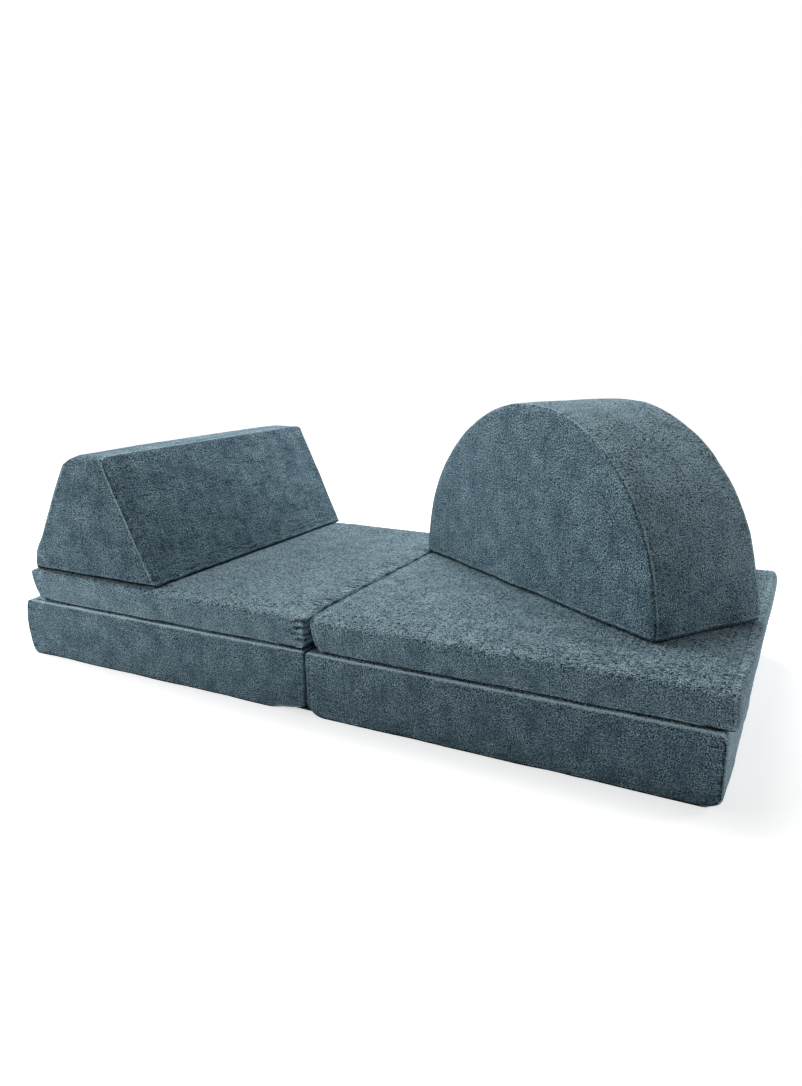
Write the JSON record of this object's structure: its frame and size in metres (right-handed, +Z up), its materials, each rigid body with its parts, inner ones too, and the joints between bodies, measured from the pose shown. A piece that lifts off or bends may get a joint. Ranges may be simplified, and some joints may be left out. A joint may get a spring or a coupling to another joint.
{
  "type": "modular foam play sofa",
  "caption": "Low play sofa of loose foam cushions: two folding mattresses stacked, a bolster with sloping sides and a half-moon cushion, in zipped cloth covers.",
  "frame": {"origin": "on the floor, under the fold line of the base mattress, midway between its front and back", "axes": "+X to the right along the sofa, +Y to the back, +Z up"},
  "size_m": [1.7132, 0.8713, 0.6555],
  "materials": {
    "cover_cloth": "matte",
    "foam": "matte",
    "zip_tape": "satin",
    "zip_slider": "satin"
  },
  "bodies": {
    "base_left": {"base_left_foam": "foam", "base_left_cover_wrap": "cover_cloth", "base_left_cover_outer_end": "cover_cloth", "base_left_cover_fold_end": "cover_cloth", "base_left_cover_underside": "cover_cloth", "base_left_zip": "zip_tape"},
    "base_left_slider": {"base_left_zip_slider": "zip_slider"},
    "base_right": {"base_right_foam": "foam", "base_right_cover_wrap": "cover_cloth", "base_right_cover_outer_end": "cover_cloth", "base_right_cover_fold_end": "cover_cloth", "base_right_cover_underside": "cover_cloth", "base_right_zip": "zip_tape"},
    "base_right_slider": {"base_right_zip_slider": "zip_slider"},
    "seat_left": {"seat_left_foam": "foam", "seat_left_cover_wrap": "cover_cloth", "seat_left_cover_outer_end": "cover_cloth", "seat_left_cover_fold_end": "cover_cloth", "seat_left_cover_underside": "cover_cloth", "seat_left_zip": "zip_tape"},
    "seat_left_slider": {"seat_left_zip_slider": "zip_slider"},
    "seat_right": {"seat_right_foam": "foam", "seat_right_cover_wrap": "cover_cloth", "seat_right_cover_outer_end": "cover_cloth", "seat_right_cover_fold_end": "cover_cloth", "seat_right_cover_underside": "cover_cloth", "seat_right_zip": "zip_tape"},
    "seat_right_slider": {"seat_right_zip_slider": "zip_slider"},
    "bolster": {"bolster_foam": "foam", "bolster_cover_band": "cover_cloth", "bolster_cover_left_slope": "cover_cloth", "bolster_cover_right_slope": "cover_cloth", "bolster_cover_underside": "cover_cloth", "bolster_zip": "zip_tape"},
    "bolster_slider": {"bolster_zip_slider": "zip_slider"},
    "half_moon": {"half_moon_foam": "foam", "half_moon_cover_front_face": "cover_cloth", "half_moon_cover_back_face": "cover_cloth", "half_moon_cover_band": "cover_cloth", "half_moon_cover_underside": "cover_cloth", "half_moon_zip": "zip_tape"},
    "half_moon_slider": {"half_moon_zip_slider": "zip_slider"}
  },
  "joints": [
    {"name": "base_fold", "type": "hinge", "parent": "base_left", "child": "base_right", "pos_m": [0, 0, -0.00025], "axis": [0, 1, 0], "range_deg": [0, 180]},
    {"name": "seat_lift", "type": "slide", "parent": "base_left", "child": "seat_left", "axis": [0, 0, 1], "range_m": [0, 0.3]},
    {"name": "seat_fold", "type": "hinge", "parent": "seat_left", "child": "seat_right", "pos_m": [0.005, 0, 0.2253], "axis": [0, -1, 0], "range_deg": [0, 90]},
    {"name": "bolster_lift", "type": "slide", "parent": "seat_left", "child": "bolster", "axis": [0, 0, 1], "range_m": [0, 0.9]},
    {"name": "moon_lift", "type": "slide", "parent": "seat_right", "child": "half_moon", "axis": [0, 0, 1], "range_m": [0, 0.45]},
    {"name": "base_left_zip_slide", "type": "slide", "parent": "base_left", "child": "base_left_slider", "axis": [1, 0, 0], "range_m": [0, 0.686]},
    {"name": "base_right_zip_slide", "type": "slide", "parent": "base_right", "child": "base_right_slider", "axis": [-1, 0, 0], "range_m": [0, 0.686]},
    {"name": "seat_left_zip_slide", "type": "slide", "parent": "seat_left", "child": "seat_left_slider", "axis": [1, 0, 0], "range_m": [0, 0.686]},
    {"name": "seat_right_zip_slide", "type": "slide", "parent": "seat_right", "child": "seat_right_slider", "axis": [-1, 0, 0], "range_m": [0, 0.686]},
    {"name": "bolster_zip_slide", "type": "slide", "parent": "bolster", "child": "bolster_slider", "axis": [-1, 0, 0], "range_m": [0, 0.286]},
    {"name": "half_moon_zip_slide", "type": "slide", "parent": "half_moon", "child": "half_moon_slider", "axis": [-0.8271, 0.5621, 0], "range_m": [0, 0.606]}
  ]
}
